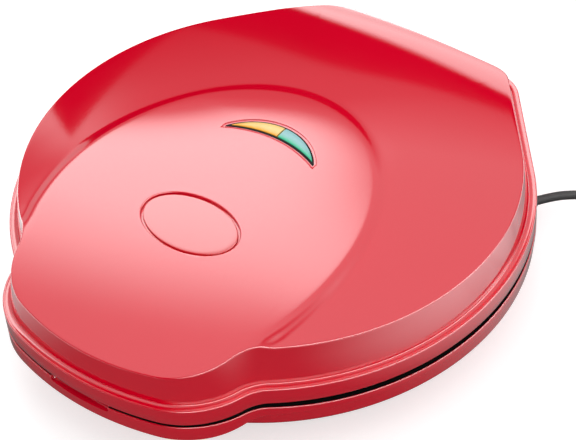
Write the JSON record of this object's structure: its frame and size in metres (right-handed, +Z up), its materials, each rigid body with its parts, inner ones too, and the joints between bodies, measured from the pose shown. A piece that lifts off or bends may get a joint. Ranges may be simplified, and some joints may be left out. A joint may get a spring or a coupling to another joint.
{
  "type": "electric pizza maker",
  "caption": "Round countertop pizza maker with a domed glossy red lid hinged at the rear, a front lobe, a crescent lamp window, an oval plaque and a coiled mains cord.",
  "frame": {"origin": "centre of the closed housing's footprint, on the surface its feet stand on", "axes": "+Z up, -Y towards the front lobe and finger recess, +Y towards the hinge, +X to the side where the cord leaves"},
  "size_m": [0.4556, 0.377, 0.0999],
  "materials": {
    "lid_gloss": "high gloss",
    "base_gloss": "high gloss",
    "badge_gloss": "high gloss",
    "bezel_plastic": "gloss",
    "amber_plastic": "clear gloss",
    "green_plastic": "clear gloss",
    "frame_plastic": "fine satin",
    "plate_coating": "non-stick coating",
    "element_sheath": "satin",
    "clamp_steel": "satin",
    "reflector_metal": "bright",
    "screw_steel": "satin",
    "pin_steel": "ground",
    "fuse_sleeve": "woven glass sleeve",
    "thermostat_body": "ceramic and steel",
    "terminal_plastic": "matt",
    "holder_plastic": "matt",
    "lamp_glass": "clear",
    "foot_rubber": "matt",
    "relief_rubber": "matt",
    "cord_sheath": "satin",
    "tie_plastic": "satin",
    "plug_plastic": "fine satin",
    "plug_brass": "polished"
  },
  "bodies": {
    "base": {"base_shell": "base_gloss", "base_frame": "frame_plastic", "lower_plate": "plate_coating", "lower_plate_screws": "screw_steel", "lower_element": "element_sheath", "lower_element_clamps": "clamp_steel", "lower_reflector": "reflector_metal", "lower_reflector_screws": "screw_steel", "lower_thermal_fuse": "fuse_sleeve", "thermostat": "thermostat_body", "terminal_block": "terminal_plastic", "inner_cord": "cord_sheath", "base_screws": "screw_steel", "feet": "foot_rubber", "hinge_pins": "pin_steel", "strain_relief": "relief_rubber", "mains_cord": "cord_sheath", "cord_coil": "cord_sheath", "cord_tie": "tie_plastic", "plug_body": "plug_plastic", "plug_pins": "plug_brass"},
    "lid": {"lid_shell": "lid_gloss", "lid_frame": "frame_plastic", "upper_plate": "plate_coating", "upper_plate_screws": "screw_steel", "upper_element": "element_sheath", "upper_element_clamps": "clamp_steel", "upper_reflector": "reflector_metal", "upper_reflector_screws": "screw_steel", "upper_thermal_fuse": "fuse_sleeve", "window_bezel": "bezel_plastic", "amber_lens": "amber_plastic", "green_lens": "green_plastic", "lamp_holder": "holder_plastic", "lamp_holder_screws": "screw_steel", "indicator_lamps": "lamp_glass", "badge_plaque": "badge_gloss", "lid_screws": "screw_steel"}
  },
  "joints": [
    {"name": "lid_hinge", "type": "hinge", "parent": "base", "child": "lid", "pos_m": [0, 0.1795, 0.055], "axis": [-1, 0, 0], "range_deg": [0, 105]}
  ]
}
